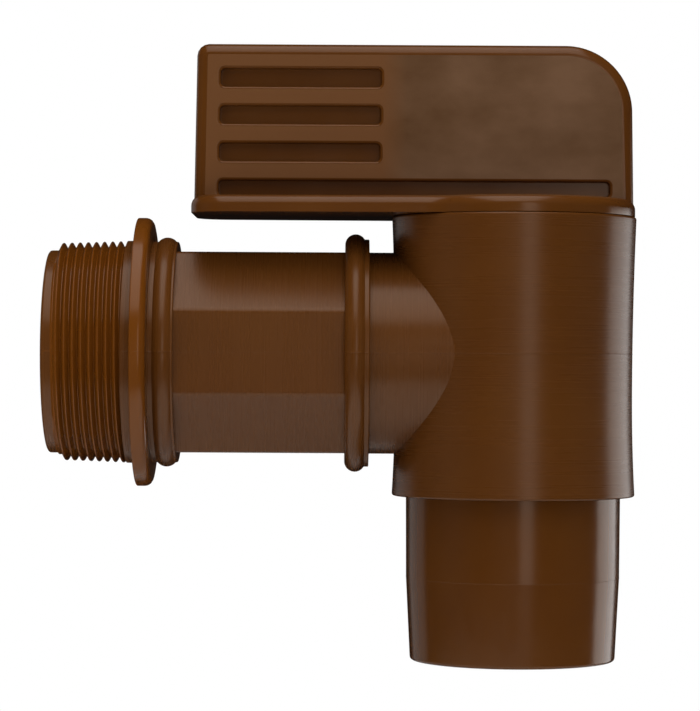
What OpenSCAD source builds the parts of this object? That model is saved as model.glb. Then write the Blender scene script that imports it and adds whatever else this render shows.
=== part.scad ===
// Drum tap with a taper-threaded inlet, a spanner neck and an upright barrel.
// A one-piece rotor turns in the barrel: flag handle on top, hollow plug inside,
// spout below. A side port in the plug lines up with the inlet when the tap is open.
//
// Frame: the inlet axis is X and the barrel axis is parallel to Z. The origin is on
// the inlet axis, in the face of the flange that seats against the drum.

/* [Inlet thread] */
// Pitch of the taper thread
thread_pitch = 2.209; // [2:0.001:2.4]
// Radius over the crests at the outer, small end
thread_crest_small_r = 29.5; // [29.2:0.05:29.8]
// Radius over the crests at the flange end
thread_crest_large_r = 30.15; // [29.9:0.05:30.15]
// Depth from crest to root
thread_depth = 1.25; // [1:0.05:1.4]
// Width of the flat on each crest
crest_flat = 0.35; // [0.25:0.05:0.5]
// Width of the flat at each root
root_flat = 0.40; // [0.3:0.05:0.6]
// Length of the threaded stretch
thread_length = 19.1; // [15:0.1:24]

/* [Inlet ends and flange] */
// Radius of the plain lead-in collar at the inlet mouth
lead_in_r = 27.5; // [27:0.1:28]
// Length of the lead-in collar
lead_in_length = 2.1; // [1.8:0.1:4]
// Rounding of the outer edge at the mouth
lead_in_round = 1.6; // [0.5:0.1:1.7]
// Radius of the plain collar between thread and flange
seat_collar_r = 30.2; // [30.2:0.05:31]
// Length of the collar between thread and flange
seat_collar_length = 2.8; // [2:0.1:4]
// Radius of the flange
flange_r = 36.45; // [34:0.05:40]
// Thickness of the flange
flange_thickness = 3.5; // [2.5:0.1:5]
// Rounding of the flange's edge on the tap's side
flange_round = 1.5; // [0.5:0.1:2]
// Bevel of the flange's edge on the drum's side
flange_bevel = 0.3; // [0.1:0.1:0.6]

/* [Neck] */
// Distance from the seat face to the barrel's axis
barrel_x = 102.2; // [100:0.1:115]
// Radius of the plain shank that carries the first ring
shank_r = 30.0; // [29.5:0.05:30.5]
// Length of the shank from the seat face
shank_length = 10.9; // [10.6:0.1:13]
// Distance from the seat face to the middle of the first ring
ring_a_x = 7.7; // [7:0.1:8]
// Radius of the first ring's round section
ring_a_section_r = 3.1; // [2.6:0.05:3.2]
// Radius over the first ring
ring_a_r = 31.15; // [30.8:0.05:32]
// Width across the flats of the spanner section
spanner_flats = 54.0; // [52:0.1:55]
// Rounding of the spanner section's eight long edges
spanner_round = 0.9; // [0.3:0.1:2]
// Distance from the seat face to the middle of the second ring
ring_b_x = 59.1; // [50:0.1:62]
// Radius of the second ring's round section
ring_b_section_r = 2.85; // [2:0.05:3.5]
// Radius over the second ring
ring_b_r = 32.3; // [31:0.1:34]
// Radius of the small collar beside the second ring
collar_b_r = 30.9; // [30:0.1:31.5]
// Length of that collar past the ring's middle
collar_b_reach = 3.7; // [3.6:0.1:5]
// Radius of the round neck between the second ring and the barrel
neck_r = 27.35; // [26.5:0.05:28]

/* [Barrel] */
// Radius of the barrel at its top rim
barrel_top_r = 33.2; // [32.6:0.05:34]
// Radius of the barrel at its waist
barrel_waist_r = 32.2; // [31.6:0.05:33]
// Radius of the barrel at its bottom rim
barrel_bottom_r = 33.0; // [32.4:0.05:34]
// Height of the barrel's top rim above the inlet axis
barrel_top_z = 37.1; // [36.6:0.1:40]
// Height of the waist above the inlet axis
barrel_waist_z = -11.3; // [-15:0.1:5]
// Height of the bottom rim above the inlet axis
barrel_bottom_z = -38.6; // [-44:0.1:-37.5]
// Bevel round the barrel's rims
barrel_bevel = 0.6; // [0.3:0.1:1]
// Radius of the barrel's bore
barrel_bore_r = 29.15; // [28.5:0.05:29.5]

/* [Water way] */
// Radius of the bore through the inlet and neck
inlet_bore_r = 24.0; // [22:0.1:25]
// Radius of the orifice through the barrel's wall, and of the plug's port
port_r = 19.5; // [15:0.1:20]
// Distance from the seat face to where the bore starts to narrow
narrowing_x = 60.0; // [40:0.5:62]
// Length over which the bore narrows to the orifice
narrowing_length = 9.0; // [6:0.5:9.5]

/* [Plug and spout] */
// Gap between the plug and the barrel's bore, on the radius
plug_clearance = 0.05; // [0.03:0.01:0.1]
// Radius of the hollow inside the plug and spout
spout_bore_r = 24.6; // [23:0.1:25]
// Height of the hollow's roof above the inlet axis
chamber_top_z = 32.0; // [26:0.5:34]
// Height of the spout's ring line above the inlet axis
spout_line_z = -60.7; // [-70:0.1:-50]
// Radius of the spout at the ring line
spout_line_r = 28.95; // [28.5:0.05:29.2]
// Height of the spout's mouth above the inlet axis
spout_end_z = -83.2; // [-95:0.1:-75]
// Radius of the spout at its mouth
spout_end_r = 27.8; // [27:0.05:28.4]
// Rounding of the lip at the mouth
spout_lip_round = 0.9; // [0.3:0.1:1.2]

/* [Seals and snap bead] */
// Diameter of the cord that each seal ring is made of
seal_section = 2.6; // [2:0.1:3]
// Height of the upper seal above the inlet axis
upper_seal_z = 28.0; // [23:0.5:30]
// Height of the lower seal above the inlet axis
lower_seal_z = -26.5; // [-28:0.5:-23]
// Room for the seal in its groove, all round
seal_play = 0.05; // [0.03:0.01:0.1]
// Height of the snap bead above the inlet axis
bead_z = -33.0; // [-34:0.5:-31]
// How far the snap bead stands proud of the plug
bead_height = 0.6; // [0.3:0.1:1]
// Gap round the snap bead in its groove
bead_gap = 0.3; // [0.2:0.05:0.5]

/* [Handle] */
// Gap between the barrel's top rim and the base plate
plate_gap = 0.3; // [0.2:0.05:0.5]
// Thickness of the base plate
plate_thickness = 4.4; // [3.5:0.1:6]
// Radius of the base plate over the barrel
plate_r = 32.8; // [31:0.1:34]
// Rounding of the base plate's top edge
plate_round = 2.2; // [1:0.1:3]
// Distance from the barrel's axis to the tip of the base plate
tongue_reach = 87.2; // [75:0.1:90]
// Hollow fillet where the tongue leaves the round part of the base plate
plate_fillet = 14.0; // [8:0.5:18]
// Half width of the tongue, were it drawn on to the barrel's axis
tongue_root_half = 26.0; // [22:0.1:28]
// Half width of the base plate at its tip
tongue_tip_half = 23.0; // [18:0.1:25]
// Corner radius at the tip of the base plate
tongue_corner_r = 9.0; // [5:0.5:12]
// Height of the flag's top edge above the inlet axis
flag_top_z = 83.8; // [75:0.1:95]
// Distance from the barrel's axis to the flag's free edge, at the top
flag_reach = 86.4; // [75:0.1:90]
// Distance from the barrel's axis to the flag's other edge, at the top
flag_back = 31.6; // [28:0.1:32.5]
// How much the flag widens at each end from top to base
flag_draft = 0.7; // [0:0.1:1.5]
// Thickness of the flag
flag_thickness = 9.0; // [7.5:0.1:12]
// Rounding of the flag's edges
flag_round = 3.0; // [1.5:0.1:3]
// Corner radius at the top of the free edge
flag_front_corner_r = 3.3; // [3.1:0.1:10]
// Corner radius at the top of the other edge
flag_back_corner_r = 18.2; // [10:0.1:25]

/* [Grip grooves] */
// Number of grooves, the long one at the base included
groove_count = 4; // [2:1:4]
// Distance from one groove to the next
groove_pitch = 10.1; // [8:0.1:10.3]
// Height of each groove
groove_height = 4.9; // [3:0.1:6]
// Length of the short grooves
groove_length = 43.6; // [25:0.1:60]
// Distance from the long groove to the flag's back edge
long_groove_margin = 5.9; // [4:0.1:12]
// Distance from the flag's free edge to the grooves
groove_inset = 6.7; // [4:0.1:10]
// Depth of the grooves in each face
groove_depth = 2.2; // [1:0.1:3]
// Corner radius of the grooves
groove_corner_r = 1.2; // [0.5:0.1:2]

/* [Hidden] */

$fn = 96;
plastic_brown = "#5f3a1c";
seal_black = "#1c1c1c";

// Overlap between solids that are fused, and run-past of cuts
fuse = 0.4;

// Stations of the inlet along X
mouth_x = thread_start_x() - lead_in_length;
thread_end_x = -seat_collar_length;
function thread_start_x() = -seat_collar_length - thread_length;

// The plug, its roof and the base plate
plug_r = barrel_bore_r - plug_clearance;
plate_z = barrel_top_z + plate_gap;
plate_top_z = plate_z + plate_thickness;
roof_round = 4;

// Sides of the spanner section
spanner_sides = 8;

// Steps along a turn of the thread, a rounded edge or corner, and round half the disc
turn_steps = 40;
edge_steps = 6;
corner_steps = 10;
disc_steps = 28;
barrel_steps = 16;

// Shapes on the barrel's axis are drawn at the origin and moved here
module at_barrel() {
    translate([barrel_x, 0, 0]) children();
}

// Turns a shape drawn along Z so that it runs along +X
module along_x(x = 0) {
    translate([x, 0, 0]) rotate([0, 90, 0]) children();
}

function arc(centre, r, from, to, steps) = [
    for (i = [0 : steps])
        let (a = from + (to - from) * i / steps)
        centre + r * [cos(a), sin(a)]
];

// A polygon's points with each corner [x, y, radius] replaced by an arc.
// The corners run anticlockwise and all turn the same way.
function unit(v) = v / norm(v);
function corner_arc(prev, here, next, r, steps) =
    let (
        u = unit(prev - here),
        v = unit(next - here),
        half = acos(u * v) / 2,
        centre = here + unit(u + v) * r / sin(half),
        sweep = 180 - 2 * half,
        start = atan2((here + u * r / tan(half) - centre)[1], (here + u * r / tan(half) - centre)[0])
    )
    arc(centre, r, start, start + sweep, steps);
function flat2(c) = [c[0], c[1]];
function rounded(corners, steps) = [
    for (i = [0 : len(corners) - 1])
        let (n = len(corners))
        each corner_arc(flat2(corners[(i + n - 1) % n]), flat2(corners[i]),
                        flat2(corners[(i + 1) % n]), corners[i][2], steps)
];

// The same corners with every side moved inwards by d
function side_normal(a, b) = let (u = unit(b - a)) [-u[1], u[0]];
function inset_corner(prev, here, next, d) =
    let (
        m = side_normal(prev, here),
        n = side_normal(here, next)
    )
    here + (m + n) * d / (1 + m * n);
function inset(corners, d) = [
    for (i = [0 : len(corners) - 1])
        let (
            n = len(corners),
            p = inset_corner(flat2(corners[(i + n - 1) % n]), flat2(corners[i]),
                             flat2(corners[(i + 1) % n]), d)
        )
        [p[0], p[1], corners[i][2] - d]
];

// Joins rings of equal length, each a list of 3D points, into one closed solid
module loft(rings) {
    n = len(rings[0]);
    last = len(rings) - 1;
    polyhedron(
        points = [for (ring = rings) each ring],
        faces = [
            [for (i = [0 : n - 1]) i],
            for (k = [0 : last - 1])
                for (i = [0 : n - 1])
                    each [
                        [k * n + i, (k + 1) * n + (i + 1) % n, k * n + (i + 1) % n],
                        [k * n + i, (k + 1) * n + i, (k + 1) * n + (i + 1) % n]
                    ],
            [for (i = [n - 1 : -1 : 0]) last * n + i]
        ]
    );
}

// Radius of the thread's crests and roots at a place along X
function crest_r(x) =
    thread_crest_small_r
    + (thread_crest_large_r - thread_crest_small_r) * (x - thread_start_x()) / thread_length;
function root_r(x) = crest_r(x) - thread_depth;

// One section of the ridge at turn t, as 3D points: both foot corners and both crest corners
function ridge_section(t) =
    let (
        x = thread_start_x() - thread_pitch / 2 + thread_pitch * t,
        foot = (thread_pitch - root_flat) / 2,
        crest = crest_flat / 2,
        sunk = root_r(x) - fuse
    )
    [
        for (p = [[-foot, sunk], [foot, sunk], [foot, root_r(x)], [crest, crest_r(x)],
                  [-crest, crest_r(x)], [-foot, root_r(x)]])
            [x + p[0], p[1] * cos(360 * t), p[1] * sin(360 * t)]
    ];

// The helical ridge, right-handed about +X, trimmed to the threaded stretch
module thread_ridge() {
    turns = thread_length / thread_pitch + 1;
    intersection() {
        loft([for (i = [0 : turns * turn_steps]) ridge_section(i / turn_steps)]);
        along_x(thread_start_x()) cylinder(h = thread_length, r = flange_r);
    }
}

// Everything on the inlet axis from the mouth to the end of the shank, as one profile
module inlet_turned() {
    mouth_round = arc([lead_in_r - lead_in_round, mouth_x + lead_in_round], lead_in_round,
                      -90, 0, edge_steps);
    rim_round = arc([flange_r - flange_round, flange_thickness - flange_round], flange_round,
                    0, 90, edge_steps);
    rotate([0, 90, 0]) rotate_extrude() polygon([
        [0, mouth_x],
        each mouth_round,
        [lead_in_r, thread_start_x()],
        [root_r(thread_start_x()), thread_start_x()],
        [root_r(thread_end_x), thread_end_x],
        [seat_collar_r, thread_end_x],
        [seat_collar_r, 0],
        [flange_r - flange_bevel, 0],
        [flange_r, flange_bevel],
        each rim_round,
        [shank_r, flange_thickness],
        [shank_r, shank_length],
        [0, shank_length]
    ]);
}

// A ring with a round section, and the web under it
module round_ring(x, section_r, over_r) {
    along_x(x) rotate_extrude() translate([over_r - section_r, 0]) circle(section_r);
    along_x(x - section_r) cylinder(h = 2 * section_r, r = over_r - section_r);
}

// The eight-sided spanner section, with a flat facing up and rounded long edges
module spanner_section() {
    corner_r = spanner_flats / 2 / cos(180 / spanner_sides);
    corners = [
        for (i = [0 : spanner_sides - 1])
            let (a = 360 * (i + 0.5) / spanner_sides)
            [corner_r * cos(a), corner_r * sin(a), spanner_round]
    ];
    along_x(shank_length - fuse)
        linear_extrude(ring_b_x - shank_length + fuse)
            polygon(rounded(corners, edge_steps));
}

// The barrel's outside, waisted between its two rims
function barrel_r(z) =
    z > barrel_waist_z
    ? barrel_waist_r + (barrel_top_r - barrel_waist_r)
      * pow((z - barrel_waist_z) / (barrel_top_z - barrel_waist_z), 2)
    : barrel_waist_r + (barrel_bottom_r - barrel_waist_r)
      * pow((z - barrel_waist_z) / (barrel_bottom_z - barrel_waist_z), 2);
module barrel_outside() {
    low = barrel_bottom_z + barrel_bevel;
    high = barrel_top_z - barrel_bevel;
    rotate_extrude() polygon([
        [0, barrel_bottom_z],
        [barrel_r(low) - barrel_bevel, barrel_bottom_z],
        for (i = [0 : barrel_steps])
            let (z = low + (high - low) * i / barrel_steps)
            [barrel_r(z), z],
        [barrel_r(high) - barrel_bevel, barrel_top_z],
        [0, barrel_top_z]
    ]);
}

// The way through the inlet: a straight bore, then a cone down to the orifice
module inlet_way() {
    along_x(mouth_x - fuse) cylinder(h = narrowing_x - mouth_x + fuse, r = inlet_bore_r);
    along_x(narrowing_x)
        cylinder(h = narrowing_length, r1 = inlet_bore_r, r2 = port_r);
    along_x(narrowing_x) cylinder(h = barrel_x - narrowing_x, r = port_r);
}

// The barrel's bore, with a lead-in at the top and the groove for the snap bead
module barrel_way() {
    translate([0, 0, barrel_bottom_z - fuse])
        cylinder(h = barrel_top_z - barrel_bottom_z + 2 * fuse, r = barrel_bore_r);
    translate([0, 0, barrel_top_z - barrel_bevel])
        cylinder(h = 2 * barrel_bevel, r1 = barrel_bore_r, r2 = barrel_bore_r + 2 * barrel_bevel);
    translate([0, 0, bead_z - bead_height - bead_gap])
        cylinder(h = 2 * (bead_height + bead_gap), r = plug_r + bead_height + bead_gap);
}

module body() {
    color(plastic_brown) difference() {
        union() {
            inlet_turned();
            thread_ridge();
            round_ring(ring_a_x, ring_a_section_r, ring_a_r);
            spanner_section();
            round_ring(ring_b_x, ring_b_section_r, ring_b_r);
            along_x(ring_b_x) cylinder(h = collar_b_reach, r = collar_b_r);
            along_x(ring_b_x) cylinder(h = barrel_x - ring_b_x, r = neck_r);
            at_barrel() barrel_outside();
        }
        inlet_way();
        at_barrel() barrel_way();
    }
}

// Half of the base plate's outline seen from above, at the barrel's axis, moved in by d:
// round the disc, through the hollow fillet, then round the tongue's corner to its tip
function plate_half(d) =
    let (
        lean = atan((tongue_root_half - tongue_tip_half) / tongue_reach),
        out = [-sin(lean), cos(lean)],
        side = tongue_root_half * cos(lean),
        hollow_out = side + plate_fillet,
        hollow_along = sqrt(pow(plate_r + plate_fillet, 2) - pow(hollow_out, 2)),
        hollow = hollow_out * out + hollow_along * [-out[1], out[0]],
        corner_x = tongue_corner_r - tongue_reach,
        corner = [corner_x, (side - tongue_corner_r - corner_x * out[0]) / out[1]],
        touch = atan2(hollow[1], hollow[0])
    )
    [
        each arc([0, 0], plate_r - d, 0, touch, disc_steps),
        each arc(hollow, plate_fillet + d, touch - 180, lean - 90, edge_steps),
        each arc(corner, tongue_corner_r - d, lean + 90, 180, corner_steps)
    ];
function plate_ring(d, z) =
    let (half = plate_half(d))
    [
        for (p = half) [p[0], p[1], z],
        for (i = [len(half) - 1 : -1 : 1]) [half[i][0], -half[i][1], z]
    ];

// How far the rounded edge has moved in at step i, and how high it has climbed
function edge_in(r, i) = r * (1 - cos(90 * i / edge_steps));
function edge_up(r, i) = r * sin(90 * i / edge_steps);

// The base plate: a disc over the barrel and a tongue under the flag, rounded round the top
module base_plate() {
    shoulder_z = plate_top_z - plate_round;
    loft([
        plate_ring(0, plate_z),
        for (i = [0 : edge_steps])
            plate_ring(edge_in(plate_round, i), shoulder_z + edge_up(plate_round, i))
    ]);
}

// Outline of the flag in the XZ plane, at the barrel's axis
flag_base_z = plate_top_z - fuse - flag_round;
function flag_corners() = [
    [-flag_reach - flag_draft, flag_base_z, flag_front_corner_r],
    [flag_back + flag_draft, flag_base_z, flag_front_corner_r],
    [flag_back, flag_top_z, flag_back_corner_r],
    [-flag_reach, flag_top_z, flag_front_corner_r]
];
// Ring of the flag's outline at step i of the rounding, on the side that sign gives
function flag_ring(i, sign) = [
    for (p = rounded(inset(flag_corners(), edge_in(flag_round, i)), corner_steps))
        [p[0], sign * (flag_thickness / 2 - flag_round + edge_up(flag_round, i)), p[1]]
];
module flag() {
    intersection() {
        loft([
            for (i = [edge_steps : -1 : 0]) flag_ring(i, 1),
            for (i = [0 : edge_steps]) flag_ring(i, -1)
        ]);
        translate([-tongue_reach, -flag_thickness, plate_top_z - fuse])
            cube([2 * tongue_reach, 2 * flag_thickness, flag_top_z]);
    }
}

// A flat shape with round corners, from its lower left corner
module round_box(w, h, r) {
    translate([r, 0]) square([w - 2 * r, h]);
    translate([0, r]) square([w, h - 2 * r]);
    for (x = [r, w - r], y = [r, h - r])
        translate([x, y]) circle(r, $fn = 32);
}

// The grooves cut into one face; the lowest is long and starts at the base plate
module grip_grooves() {
    for (i = [0 : groove_count - 1]) {
        z = plate_top_z + i * groove_pitch;
        rise = (z - plate_top_z) / (flag_top_z - plate_top_z);
        left = -flag_reach - flag_draft * (1 - rise) + groove_inset;
        w = i == 0 ? flag_back - long_groove_margin - left : groove_length;
        translate([left, -flag_thickness / 2 + groove_depth, z])
            rotate([90, 0, 0])
                linear_extrude(groove_depth + fuse) round_box(w, groove_height, groove_corner_r);
    }
}

// Plug and spout outside, with the two seal grooves and the snap bead
module plug_outside() {
    groove_r = plug_r - seal_section - seal_play;
    groove_half = seal_section / 2 + seal_play;
    difference() {
        rotate_extrude() polygon([
            [0, spout_end_z],
            each arc([spout_end_r - spout_lip_round, spout_end_z + spout_lip_round],
                     spout_lip_round, -90, 0, edge_steps),
            [spout_line_r, spout_line_z],
            [plug_r, barrel_bottom_z],
            [plug_r, bead_z - bead_height],
            [plug_r + bead_height, bead_z],
            [plug_r, bead_z + bead_height],
            [plug_r, plate_z + fuse],
            [0, plate_z + fuse]
        ]);
        for (z = [upper_seal_z, lower_seal_z])
            translate([0, 0, z - groove_half]) difference() {
                cylinder(h = 2 * groove_half, r = plug_r + fuse);
                translate([0, 0, -fuse]) cylinder(h = 2 * (groove_half + fuse), r = groove_r);
            }
    }
}

// The hollow from the spout's mouth to the roof, and the side port that faces the inlet
module plug_way() {
    rotate_extrude() polygon([
        [0, spout_end_z - fuse],
        [spout_bore_r, spout_end_z - fuse],
        each arc([spout_bore_r - roof_round, chamber_top_z - roof_round], roof_round, 0, 90, edge_steps),
        [0, chamber_top_z]
    ]);
    rotate([0, -90, 0]) cylinder(h = plug_r + fuse, r = port_r);
}

module rotor() {
    color(plastic_brown) at_barrel() difference() {
        union() {
            plug_outside();
            base_plate();
            flag();
        }
        plug_way();
        grip_grooves();
        mirror([0, 1, 0]) grip_grooves();
    }
}

// A ring of round cord that fills the groove and just meets the bore
module seal_ring(z) {
    color(seal_black) at_barrel() translate([0, 0, z])
        rotate_extrude() translate([plug_r - seal_section / 2, 0])
            circle(seal_section / 2, $fn = 32);
}
module upper_seal() { seal_ring(upper_seal_z); }
module lower_seal() { seal_ring(lower_seal_z); }

body();
rotor();
upper_seal();
lower_seal();
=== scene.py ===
"""Looks of a drum tap: the two brown mouldings, their seal rings and a studio round them."""

import math

import bmesh
import bpy
from mathutils import Matrix, Vector


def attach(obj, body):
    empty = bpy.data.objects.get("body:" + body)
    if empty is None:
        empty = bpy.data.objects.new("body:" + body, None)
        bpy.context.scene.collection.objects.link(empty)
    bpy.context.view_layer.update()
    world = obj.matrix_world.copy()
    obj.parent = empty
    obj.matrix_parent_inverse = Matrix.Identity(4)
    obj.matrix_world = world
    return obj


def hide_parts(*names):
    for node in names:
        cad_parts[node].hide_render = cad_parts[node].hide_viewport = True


bl_info = {
    "name": "Drum tap",
    "version": (1, 0, 0),
    "blender": (4, 5, 0),
    "location": "View3D > Sidebar > Drum tap",
    "description": "Builds the mouldings and materials of a drum tap round its fixed frame",
    "category": "Object",
}

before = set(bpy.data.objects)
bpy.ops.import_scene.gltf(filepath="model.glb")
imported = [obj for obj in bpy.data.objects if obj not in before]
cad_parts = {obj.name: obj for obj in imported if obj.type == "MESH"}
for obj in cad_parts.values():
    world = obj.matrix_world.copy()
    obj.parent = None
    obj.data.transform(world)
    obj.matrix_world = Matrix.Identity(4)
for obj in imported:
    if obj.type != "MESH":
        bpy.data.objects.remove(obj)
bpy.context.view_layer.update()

MM = 0.001

# Directions of the part's frame
ALONG = Vector((1, 0, 0))
NEAR = Vector((0, -1, 0))
UP = Vector((0, 0, 1))
ORIGIN = Vector((0, 0, 0))

# Steps round a full turn of a turned shape, round one turn of the thread, and over a ring
TURN_STEPS = 256
THREAD_STEPS = 128
RING_STEPS = 20
# Doubles are merged below this distance, and faces meeting above this angle stay crisp
MERGE = 1e-6
CRISP_ANGLE = math.radians(32)


def linear(hex_colour):
    """An sRGB hex colour as linear red, green, blue and alpha."""
    channels = [int(hex_colour[i : i + 2], 16) / 255 for i in (1, 3, 5)]
    return [c / 12.92 if c <= 0.04045 else ((c + 0.055) / 1.055) ** 2.4 for c in channels] + [1.0]


def length(name, mm, description):
    """A length property whose default is given in millimetres."""
    return bpy.props.FloatProperty(
        name=name, description=description, default=mm * MM, unit="LENGTH", precision=5
    )


def colour(name, hex_colour, description):
    """A colour property whose default is given as an sRGB hex value."""
    return bpy.props.FloatVectorProperty(
        name=name, description=description, default=linear(hex_colour), size=4, subtype="COLOR"
    )


class DrumTapBodySizes(bpy.types.PropertyGroup):
    """Sizes of the body moulding"""

    thread_pitch: length("Thread pitch", 2.209, "Distance from one crest to the next")
    crest_small_r: length("Small crest radius", 29.5, "Radius over the crests at the mouth")
    crest_large_r: length("Large crest radius", 30.15, "Radius over the crests at the flange")
    thread_depth: length("Thread depth", 1.65, "Depth from crest to root")
    crest_flat: length("Crest flat", 0.32, "Width of the flat on each crest")
    root_flat: length("Root flat", 0.14, "Width of the flat at each root")
    crest_round: length("Crest rounding", 0.25, "Rounding of the thread's crests")
    thread_clear: length("Thread clearance", 0.4, "Plain stretch before the thread rises")
    start_slope: bpy.props.FloatProperty(
        name="Start slope", description="Rise of the chamfer that starts the thread", default=2.0
    )
    thread_length: length("Thread length", 19.1, "Length of the threaded stretch")
    lead_in_r: length("Lead-in radius", 27.5, "Radius of the plain collar at the mouth")
    lead_in_length: length("Lead-in length", 2.1, "Length of the plain collar at the mouth")
    lead_in_round: length("Lead-in rounding", 0.7, "Rounding of the collar's outer edge")
    seat_collar_r: length("Seat collar radius", 30.2, "Radius of the collar by the flange")
    seat_collar_length: length("Seat collar length", 2.8, "Length of the collar by the flange")
    flange_r: length("Flange radius", 36.45, "Radius of the flange")
    flange_thickness: length("Flange thickness", 4.2, "Thickness of the flange")
    flange_round: length("Flange rounding", 2.0, "Rounding of the flange on the tap's side")
    flange_bevel: length("Flange bevel", 0.3, "Edge break of the flange on the drum's side")
    barrel_x: length("Barrel axis", 102.2, "Distance from the seat face to the barrel's axis")
    shank_r: length("Shank radius", 30.0, "Radius of the shank that carries the first ring")
    shank_length: length("Shank length", 11.0, "Length of the shank from the seat face")
    ring_a_x: length("First ring place", 8.0, "Distance from the seat face to the first ring")
    ring_a_section_r: length("First ring section", 3.1, "Radius of the first ring's section")
    ring_a_r: length("First ring radius", 31.15, "Radius over the first ring")
    spanner_flats: length("Spanner flats", 54.0, "Width across the flats of the neck")
    spanner_round: length("Spanner rounding", 0.9, "Rounding of the neck's eight long edges")
    ring_b_x: length("Second ring place", 59.1, "Distance from the seat face to the second ring")
    ring_b_section_r: length("Second ring section", 2.85, "Radius of the second ring's section")
    ring_b_r: length("Second ring radius", 32.3, "Radius over the second ring")
    collar_b_r: length("Ring collar radius", 30.9, "Radius of the collar by the second ring")
    collar_b_reach: length("Ring collar reach", 3.7, "Length of that collar past the ring's middle")
    neck_r: length("Neck radius", 27.35, "Radius of the round neck at the barrel")
    barrel_top_r: length("Barrel top radius", 33.2, "Radius of the barrel at its top rim")
    barrel_waist_r: length("Barrel waist radius", 32.2, "Radius of the barrel at its waist")
    barrel_bottom_r: length("Barrel bottom radius", 33.0, "Radius of the barrel at its bottom rim")
    barrel_top_z: length("Barrel top", 37.1, "Height of the top rim above the inlet axis")
    barrel_waist_z: length("Barrel waist", -11.3, "Height of the waist above the inlet axis")
    barrel_bottom_z: length("Barrel bottom", -38.6, "Height of the bottom rim above the axis")
    barrel_bevel: length("Barrel bevel", 0.6, "Bevel round the barrel's rims")
    barrel_bore_r: length("Barrel bore", 29.15, "Radius of the barrel's bore")
    inlet_bore_r: length("Inlet bore", 24.0, "Radius of the bore through the inlet")
    port_r: length("Port radius", 19.5, "Radius of the orifice into the barrel")
    narrowing_x: length("Narrowing place", 60.0, "Where the inlet's bore starts to narrow")
    narrowing_length: length("Narrowing length", 9.0, "Length over which the bore narrows")
    edge_round: length("Small edges", 0.25, "Rounding of the small moulded edges")
    parting_width: length("Parting line width", 0.22, "Width of the mould's parting line")
    parting_height: length("Parting line height", 0.05, "Height of the mould's parting line")


class DrumTapRotorSizes(bpy.types.PropertyGroup):
    """Sizes of the rotor moulding"""

    plug_r: length("Plug radius", 29.1, "Radius of the plug in the barrel")
    spout_bore_r: length("Spout bore", 24.6, "Radius of the hollow in plug and spout")
    chamber_top_z: length("Chamber roof", 32.0, "Height of the hollow's roof")
    roof_round: length("Roof rounding", 4.0, "Rounding round the hollow's roof")
    spout_line_z: length("Ring line", -60.7, "Height of the spout's ring line")
    spout_line_r: length("Ring line radius", 28.95, "Radius of the spout at the ring line")
    spout_end_z: length("Spout mouth", -83.2, "Height of the spout's mouth")
    spout_end_r: length("Spout mouth radius", 27.8, "Radius of the spout at its mouth")
    spout_lip_round: length("Lip rounding", 0.9, "Rounding of the lip at the mouth")
    seal_groove: length("Seal groove", 2.65, "Depth of the seal grooves")
    upper_seal_z: length("Upper seal", 28.0, "Height of the upper seal")
    lower_seal_z: length("Lower seal", -26.5, "Height of the lower seal")
    bead_z: length("Snap bead", -33.0, "Height of the snap bead")
    bead_height: length("Snap bead height", 0.6, "How far the snap bead stands proud")
    bead_gap: length("Snap bead gap", 0.3, "Gap round the snap bead in its groove")
    plate_gap: length("Plate gap", 0.12, "Gap between the barrel's rim and the base plate")
    plate_thickness: length("Plate thickness", 4.58, "Thickness of the base plate")
    plate_r: length("Plate radius", 32.8, "Radius of the base plate over the barrel")
    plate_round: length("Plate rounding", 2.7, "Rounding of the base plate's top edge")
    plate_fillet: length("Plate fillet", 14.0, "Fillet where the tongue leaves the disc")
    tongue_reach: length("Tongue reach", 87.2, "Distance from the barrel's axis to the tip")
    tongue_root_half: length("Tongue root", 26.0, "Half width of the tongue at the axis")
    tongue_tip_half: length("Tongue tip", 23.0, "Half width of the tongue at its tip")
    tongue_corner_r: length("Tongue corner", 9.0, "Corner radius at the tongue's tip")
    flag_top_z: length("Flag top", 83.8, "Height of the flag's top edge")
    flag_reach: length("Flag reach", 86.4, "Distance from the axis to the free edge")
    flag_back: length("Flag back", 31.6, "Distance from the axis to the other edge")
    flag_draft: length("Flag draft", 0.7, "How much each end widens towards the base")
    flag_thickness: length("Flag thickness", 9.0, "Thickness of the flag")
    flag_round: length("Flag rounding", 3.0, "Rounding of the flag's edges")
    flag_front_corner_r: length("Free corner", 3.3, "Corner radius at the free edge")
    flag_back_corner_r: length("Back corner", 18.2, "Corner radius at the other edge")
    groove_pitch: length("Groove pitch", 10.1, "Distance from one groove to the next")
    groove_height: length("Groove height", 4.9, "Height of each groove")
    groove_length: length("Groove length", 43.6, "Length of the short grooves")
    long_groove_margin: length("Long groove margin", 5.9, "From the long groove to the back edge")
    groove_inset: length("Groove inset", 6.7, "From the free edge to the grooves")
    groove_depth: length("Groove depth", 2.7, "Depth of the grooves in each face")
    groove_corner_r: length("Groove corner", 1.2, "Corner radius of the grooves")
    groove_edge_round: length("Groove edge", 0.7, "Rounding of the grooves' edges")
    groove_count: bpy.props.IntProperty(
        name="Grooves", description="Number of grooves, the long one included", default=4, min=1
    )


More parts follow.
